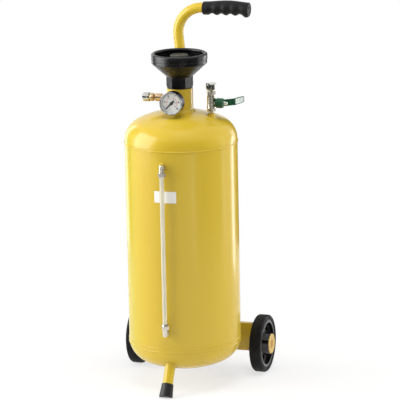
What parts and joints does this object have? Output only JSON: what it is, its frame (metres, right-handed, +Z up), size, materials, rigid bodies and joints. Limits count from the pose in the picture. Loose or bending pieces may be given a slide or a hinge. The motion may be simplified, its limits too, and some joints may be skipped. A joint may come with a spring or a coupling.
{
  "type": "wheeled sprayer cart",
  "caption": "Upright pressure tank on wheels with a leaning front leg, a filling funnel, a gauge, a lever valve, a level tube and a side-bent push handle.",
  "frame": {"origin": "middle of the footprint, on the floor", "axes": "+Z up; -Y is the front, where the leg, the gauge and the level tube are; +X is the side of the outlet valve and the grip's free end"},
  "size_m": [0.407, 0.3984, 1.0131],
  "materials": {
    "yellow_paint": "glossy powder coat",
    "yellow_plastic": "glossy",
    "zinc_steel": "zinc plated",
    "nickel_plate": "nickel plated, satin",
    "chrome_ball": "polished",
    "brass": "turned",
    "white_seat": "waxy",
    "green_paint": "glossy",
    "black_plastic": "moulded, slightly glossy",
    "dark_plastic": "moulded",
    "black_rubber": "matt",
    "grip_rubber": "satin",
    "clear_tube": "milky clear",
    "black_enamel": "gloss black",
    "white_enamel": "matt white",
    "lens_glass": "clear",
    "tyre_rubber": "matt",
    "rim_plastic": "moulded",
    "bush_plastic": "moulded"
  },
  "bodies": {
    "tank": {"tank_shell": "yellow_paint", "top_head": "yellow_paint", "bottom_head": "yellow_paint", "filler_neck": "yellow_paint", "gauge_socket": "yellow_paint", "air_socket": "yellow_paint", "valve_socket": "yellow_paint", "level_sockets": "yellow_paint", "dip_tube": "zinc_steel", "leg_tube": "yellow_paint", "foot_cap": "black_rubber", "axle_bracket": "yellow_paint", "axle_stubs": "zinc_steel", "axle_washers": "zinc_steel", "axle_rings": "zinc_steel", "handle_cradles": "yellow_paint", "handle_clamps": "zinc_steel", "clamp_bolts": "zinc_steel", "clamp_nuts": "zinc_steel", "handle_tube": "yellow_paint", "hand_grip": "grip_rubber", "funnel": "black_plastic", "funnel_gasket": "black_rubber", "level_elbows": "nickel_plate", "level_nuts": "nickel_plate", "level_tube": "clear_tube", "valve_body": "nickel_plate", "valve_seats": "white_seat", "valve_end": "nickel_plate", "valve_gland": "brass", "outlet_elbow": "nickel_plate", "air_nipple": "brass", "check_body": "brass", "coupling_body": "brass", "gauge_stem": "brass", "gauge_case": "black_enamel", "gauge_movement": "brass", "gauge_dial": "white_enamel", "gauge_lens": "lens_glass", "gauge_bezel": "zinc_steel"},
    "left_wheel": {"left_tyre": "tyre_rubber", "left_rim": "rim_plastic", "left_bush": "bush_plastic", "left_cap": "yellow_plastic"},
    "right_wheel": {"right_tyre": "tyre_rubber", "right_rim": "rim_plastic", "right_bush": "bush_plastic", "right_cap": "yellow_plastic"},
    "lever": {"valve_lever": "green_paint", "valve_stem": "zinc_steel", "valve_ball": "chrome_ball", "lever_nut": "zinc_steel"},
    "pointer": {"gauge_pointer": "black_enamel"},
    "seal": {"plug_oring": "black_rubber"},
    "plug": {"filler_plug": "dark_plastic"},
    "sleeve": {"coupling_sleeve": "nickel_plate"},
    "poppet": {"check_poppet": "brass"}
  },
  "joints": [
    {"name": "left_wheel_spin", "type": "hinge", "parent": "tank", "child": "left_wheel", "pos_m": [-0.1765, 0.1212, 0.078], "axis": [1, 0, 0], "continuous": true},
    {"name": "right_wheel_spin", "type": "hinge", "parent": "tank", "child": "right_wheel", "pos_m": [0.1765, 0.1212, 0.078], "axis": [1, 0, 0], "continuous": true},
    {"name": "valve_turn", "type": "hinge", "parent": "tank", "child": "lever", "pos_m": [0.0865, -0.0122, 0.76703], "axis": [1, 0, 0], "range_deg": [0, 90]},
    {"name": "pointer_swing", "type": "hinge", "parent": "tank", "child": "pointer", "pos_m": [0, -0.0842, 0.77543], "axis": [0, 1, 0], "range_deg": [0, 270], "stiffness_Nm_per_rad": 0.002},
    {"name": "plug_lift", "type": "slide", "parent": "tank", "child": "seal", "axis": [0, 0, 1], "range_m": [0, 0.0241]},
    {"name": "plug_turn", "type": "hinge", "parent": "seal", "child": "plug", "pos_m": [0, -0.0122, 0.84], "axis": [0, 0, 1], "range_deg": [0, 2160]},
    {"name": "sleeve_slide", "type": "slide", "parent": "tank", "child": "sleeve", "axis": [1, 0, 0], "range_m": [0, 0.0024], "stiffness_N_per_m": 800, "springref_m": -0.002},
    {"name": "poppet_slide", "type": "slide", "parent": "tank", "child": "poppet", "axis": [1, 0, 0], "range_m": [0, 0.0025], "stiffness_N_per_m": 200, "springref_m": -0.001}
  ],
  "couplings": [
    {"joint": "plug_lift", "follows": "plug_turn", "m_per_rad": 0.00063662}
  ]
}
